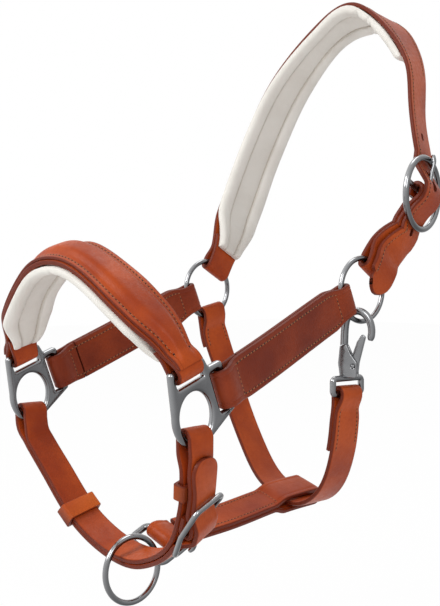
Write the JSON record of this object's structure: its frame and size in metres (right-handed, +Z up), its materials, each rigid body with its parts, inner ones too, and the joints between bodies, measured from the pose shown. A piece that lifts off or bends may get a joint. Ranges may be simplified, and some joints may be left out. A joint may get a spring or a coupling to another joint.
{
  "type": "leather halter",
  "caption": "Leather head halter with padded noseband and crown, cast cheek fittings, round rings, a buckled crown and chin strap, a throat snap and a lead ring.",
  "frame": {"origin": "under the middle of the crown's lining, where the halter rests on the horse's poll", "axes": "+Z up, -Y towards the horse's nose, +X towards the horse's left (near) side"},
  "size_m": [0.1798, 0.2779, 0.3878],
  "materials": {
    "leather": "semi-gloss oiled leather",
    "leather_light": "smooth leather",
    "lining": "soft smooth leather over foam",
    "filler": "felt",
    "steel": "polished"
  },
  "bodies": {
    "halter": {"buckle_strap": "leather", "cheek_fitting_far": "steel", "cheek_fitting_near": "steel", "cheek_strap_far": "leather", "cheek_strap_near": "leather", "chin_buckle_frame": "steel", "chin_strap": "leather", "crown_buckle_frame": "steel", "crown_lining": "lining", "crown_strap": "leather", "jaw_strap": "leather", "noseband_cover": "leather", "noseband_filler": "filler", "noseband_lining": "lining", "noseband_strap": "leather", "throat_strap": "leather"},
    "upper_ring_near": {"upper_ring_near": "steel"},
    "upper_ring_far": {"upper_ring_far": "steel"},
    "lead_ring": {"lead_ring": "steel"},
    "chin_dee": {"chin_dee": "steel"},
    "crown_tongue": {"crown_buckle_tongue": "steel"},
    "chin_tongue": {"chin_buckle_tongue": "steel"},
    "keeper_near": {"chin_keeper_near": "leather_light"},
    "keeper_far": {"chin_keeper_far": "leather_light"},
    "snap": {"snap_body": "steel", "snap_gate_pin": "steel", "snap_spring": "steel"},
    "gate": {"snap_gate": "steel"}
  },
  "joints": [
    {"name": "upper_ring_near_turn", "type": "hinge", "parent": "halter", "child": "upper_ring_near", "pos_m": [0.072, -0.08, -0.185], "axis": [1, 0, 0], "continuous": true},
    {"name": "upper_ring_far_turn", "type": "hinge", "parent": "halter", "child": "upper_ring_far", "pos_m": [-0.072, -0.08, -0.185], "axis": [1, 0, 0], "continuous": true},
    {"name": "lead_ring_swing", "type": "hinge", "parent": "halter", "child": "lead_ring", "pos_m": [0, -0.2035, -0.3365], "axis": [0, 1, 0], "range_deg": [-30, 30]},
    {"name": "chin_dee_swing", "type": "hinge", "parent": "halter", "child": "chin_dee", "pos_m": [-0.0015, -0.178, -0.3355], "axis": [0.9396, 0.04, -0.3399], "range_deg": [-5, 10]},
    {"name": "crown_tongue_lift", "type": "hinge", "parent": "halter", "child": "crown_tongue", "pos_m": [0.083, -0.0341, -0.124], "axis": [-0.1932, 0.9345, -0.2989], "range_deg": [0, 15]},
    {"name": "chin_tongue_lift", "type": "hinge", "parent": "halter", "child": "chin_tongue", "pos_m": [0.06888, -0.21296, -0.31115], "axis": [0.1618, -0.9079, -0.3868], "range_deg": [0, 15]},
    {"name": "keeper_near_slide", "type": "slide", "parent": "halter", "child": "keeper_near", "axis": [-0.3131, 0.1928, -0.9299], "range_m": [-0.002, 0.003]},
    {"name": "keeper_far_slide", "type": "slide", "parent": "halter", "child": "keeper_far", "axis": [-0.653, -0.1991, 0.7307], "range_m": [-0.002, 0.003]},
    {"name": "snap_swing", "type": "hinge", "parent": "halter", "child": "snap", "pos_m": [0.0663, -0.0871, -0.249], "axis": [0, 1, 0], "range_deg": [-1.5, 1.2]},
    {"name": "gate_open", "type": "hinge", "parent": "snap", "child": "gate", "pos_m": [0.0697, -0.08462, -0.232], "axis": [0.4695, -0.8829, 0], "range_deg": [0, 15], "stiffness_Nm_per_rad": 0.02, "springref_deg": -20.05}
  ]
}
